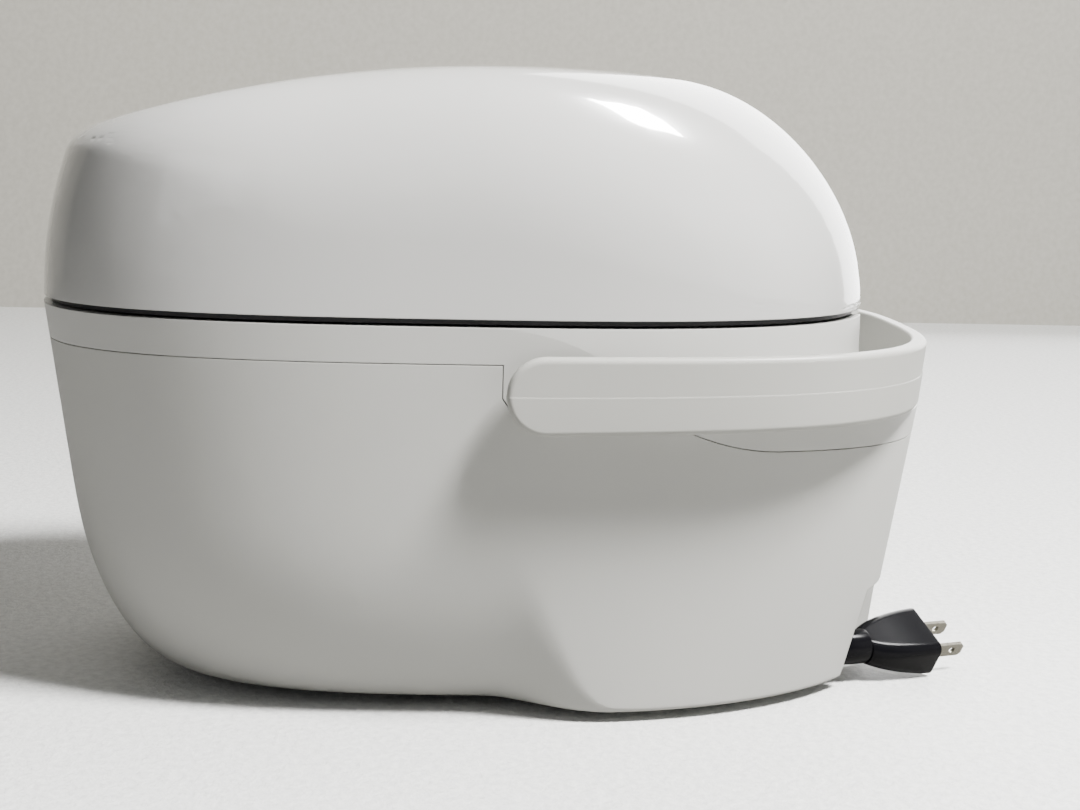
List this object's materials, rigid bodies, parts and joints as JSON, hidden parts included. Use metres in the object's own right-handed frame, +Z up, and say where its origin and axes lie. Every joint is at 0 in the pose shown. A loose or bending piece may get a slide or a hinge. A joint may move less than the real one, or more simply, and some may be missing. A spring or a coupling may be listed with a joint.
{
  "type": "rice cooker",
  "caption": "White rounded rice cooker with a tall domed lid, a carry handle folded to the rear, a removable pot and a two-blade plug on a reel-wound cord.",
  "frame": {"origin": "on the floor, under the middle of the cooker's width and depth measured without the cord's tail and plug", "axes": "+X the cooker's own left side, -Y its front (the side the lid's open button is on), +Z up"},
  "size_m": [0.2759, 0.3733, 0.2417],
  "materials": {
    "white_gloss": "gloss",
    "white_satin": "satin",
    "white_matte": "matte",
    "handle_white": "satin",
    "panel_grey": "gloss",
    "button_grey": "satin",
    "window_tint": "clear",
    "frame_black": "gloss",
    "inner_grey": "matte",
    "pot_dark": "satin non-stick coating",
    "lid_aluminium": "satin",
    "steel": "brushed",
    "silicone": "matte",
    "heater_mat": "matte",
    "copper": "enamelled wire",
    "ferrite": "matte",
    "board_green": "solder mask",
    "component_black": "satin",
    "cord_black": "satin",
    "plug_black": "satin",
    "blade_metal": "nickel-tinted",
    "foot_rubber": "matte"
  },
  "bodies": {
    "base": {"shoulder_ring": "white_satin", "deck_plate": "white_satin", "body_shell": "white_matte", "base_plate": "white_matte", "rubber_feet": "foot_rubber", "base_screws": "steel", "inner_pot": "pot_dark", "inner_case": "inner_grey", "side_heater": "heater_mat", "coil_base": "inner_grey", "induction_coil": "copper", "ferrite_bars": "ferrite", "sensor_housing": "inner_grey", "sensor_spring": "steel", "inverter_board": "board_green", "heat_sink": "lid_aluminium", "board_components": "component_black", "fan_housing": "component_black", "reel_bracket": "steel", "reel_spring": "steel", "cord_outlet": "inner_grey", "hinge_pin": "steel", "latch_catch": "steel", "handle_pivots": "inner_grey", "lid_springs": "steel"},
    "lid": {"lid_shell": "white_gloss", "control_panel": "panel_grey", "lcd_window": "window_tint", "display_board": "board_green", "lid_under_frame": "frame_black", "latch_pin": "steel", "inner_lid": "lid_aluminium", "inner_lid_gasket": "silicone", "lid_heater_plate": "lid_aluminium", "steam_duct": "inner_grey"},
    "vent_cap": {"steam_vent_cap": "white_gloss"},
    "open_key": {"open_button": "white_satin"},
    "hook": {"latch_hook": "inner_grey"},
    "start_key": {"start_button": "button_grey"},
    "cancel_key": {"cancel_button": "button_grey"},
    "menu_key": {"menu_button": "button_grey"},
    "timer_key": {"timer_button": "button_grey"},
    "plus_key": {"plus_button": "button_grey"},
    "minus_key": {"minus_button": "button_grey"},
    "handle": {"carry_handle": "handle_white"},
    "rotor": {"fan_rotor": "component_black"},
    "sensor": {"centre_sensor": "lid_aluminium"},
    "reel": {"cord_reel": "inner_grey", "cord_winding": "cord_black"},
    "plug": {"cord_tail": "cord_black", "plug_boot": "plug_black", "plug_body": "plug_black", "plug_blades": "blade_metal"}
  },
  "joints": [
    {"name": "lid_hinge", "type": "hinge", "parent": "base", "child": "lid", "pos_m": [0, 0.1477, 0.15], "axis": [-1, 0, 0], "range_deg": [0, 88]},
    {"name": "handle_swing", "type": "hinge", "parent": "base", "child": "handle", "pos_m": [0, 0.019, 0.125], "axis": [1, 0, 0], "range_deg": [0, 90]},
    {"name": "vent_cap_lift", "type": "slide", "parent": "lid", "child": "vent_cap", "axis": [0, 0, 1], "range_m": [0, 0.025]},
    {"name": "open_press", "type": "slide", "parent": "lid", "child": "open_key", "axis": [0, 0.3093, -0.951], "range_m": [0, 0.003], "stiffness_N_per_m": 700, "springref_m": -0.001},
    {"name": "hook_swing", "type": "hinge", "parent": "lid", "child": "hook", "pos_m": [0, -0.156, 0.163], "axis": [1, 0, 0], "range_deg": [0, 10.5]},
    {"name": "start_press", "type": "slide", "parent": "lid", "child": "start_key", "axis": [0, 0.1851, -0.9827], "range_m": [0, 0.0008], "stiffness_N_per_m": 900, "springref_m": -0.0005},
    {"name": "cancel_press", "type": "slide", "parent": "lid", "child": "cancel_key", "axis": [0, 0.1851, -0.9827], "range_m": [0, 0.0008], "stiffness_N_per_m": 900, "springref_m": -0.0005},
    {"name": "menu_press", "type": "slide", "parent": "lid", "child": "menu_key", "axis": [0, 0.2291, -0.9734], "range_m": [0, 0.0008], "stiffness_N_per_m": 900, "springref_m": -0.0005},
    {"name": "timer_press", "type": "slide", "parent": "lid", "child": "timer_key", "axis": [0, 0.2291, -0.9734], "range_m": [0, 0.0008], "stiffness_N_per_m": 900, "springref_m": -0.0005},
    {"name": "plus_press", "type": "slide", "parent": "lid", "child": "plus_key", "axis": [0, 0.2545, -0.9671], "range_m": [0, 0.0008], "stiffness_N_per_m": 900, "springref_m": -0.0005},
    {"name": "minus_press", "type": "slide", "parent": "lid", "child": "minus_key", "axis": [0, 0.2545, -0.9671], "range_m": [0, 0.0008], "stiffness_N_per_m": 900, "springref_m": -0.0005},
    {"name": "fan_spin", "type": "hinge", "parent": "base", "child": "rotor", "pos_m": [-0.06, 0.068, 0.015], "axis": [0, 0, 1], "continuous": true},
    {"name": "sensor_press", "type": "slide", "parent": "base", "child": "sensor", "axis": [0, 0, -1], "range_m": [0, 0.0015], "stiffness_N_per_m": 900, "springref_m": -0.0005, "deforming": ["sensor_spring"]},
    {"name": "plug_pull", "type": "slide", "parent": "base", "child": "plug", "axis": [0, 1, 0], "range_m": [0, 0.04]},
    {"name": "reel_turn", "type": "hinge", "parent": "base", "child": "reel", "pos_m": [0.012, 0.088, 0.014], "axis": [0, 0, 1], "range_deg": [0, 62]}
  ],
  "couplings": [
    {"joint": "hook_swing", "follows": "open_press", "rad_per_m": 58.2},
    {"joint": "reel_turn", "follows": "plug_pull", "rad_per_m": 25.8}
  ]
}
